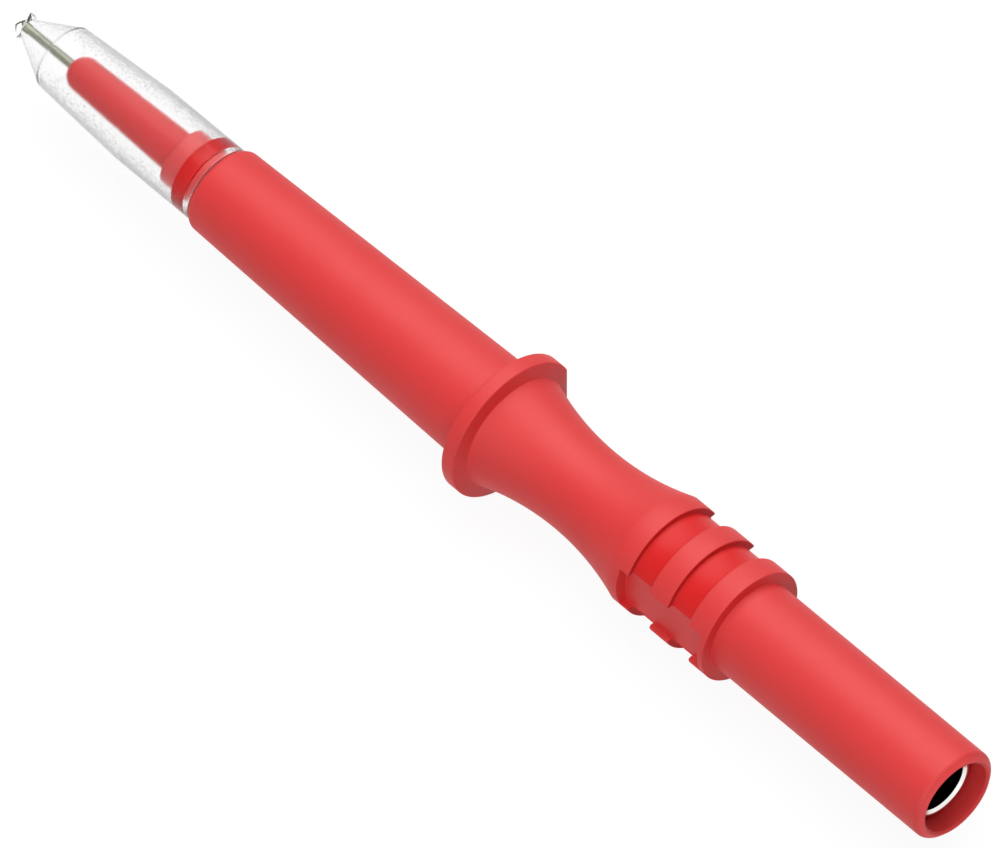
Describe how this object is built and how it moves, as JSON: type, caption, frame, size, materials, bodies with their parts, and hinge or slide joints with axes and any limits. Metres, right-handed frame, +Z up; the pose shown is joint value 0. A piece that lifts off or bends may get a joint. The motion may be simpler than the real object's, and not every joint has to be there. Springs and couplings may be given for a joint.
{
  "type": "test probe tip",
  "caption": "Slender plug-on test probe tip with a finger guard, ribbed grip, 4 mm socket and a clear cap over its needle.",
  "frame": {"origin": "centre of the contact's mouth, where a 4 mm plug enters", "axes": "+X along the probe's axis, out of the socket, so the tip points to -X; +Z up as pictured; the guard's flat faces +Y"},
  "size_m": [0.0883, 0.01, 0.0104],
  "materials": {
    "red_plastic": "satin, fine moulded grain",
    "barrel_plastic": "satin, fine moulded grain",
    "band_rubber": "smooth silicone rubber",
    "clear_plastic": "clear, lightly frosted by moulding",
    "needle_steel": "drawn and ground",
    "rod_brass": "turned",
    "plated_brass": "nickel plated",
    "spring_steel": "bright"
  },
  "bodies": {
    "probe": {"handle": "red_plastic", "barrel": "barrel_plastic", "cap_band": "band_rubber", "needle": "needle_steel", "contact_rod": "rod_brass", "socket_contact": "plated_brass", "clamp_ring": "spring_steel"},
    "cap": {"tip_cap": "clear_plastic"}
  },
  "joints": [
    {"name": "cap_pull", "type": "slide", "parent": "probe", "child": "cap", "axis": [-1, 0, 0], "range_m": [0, 0.02]}
  ]
}
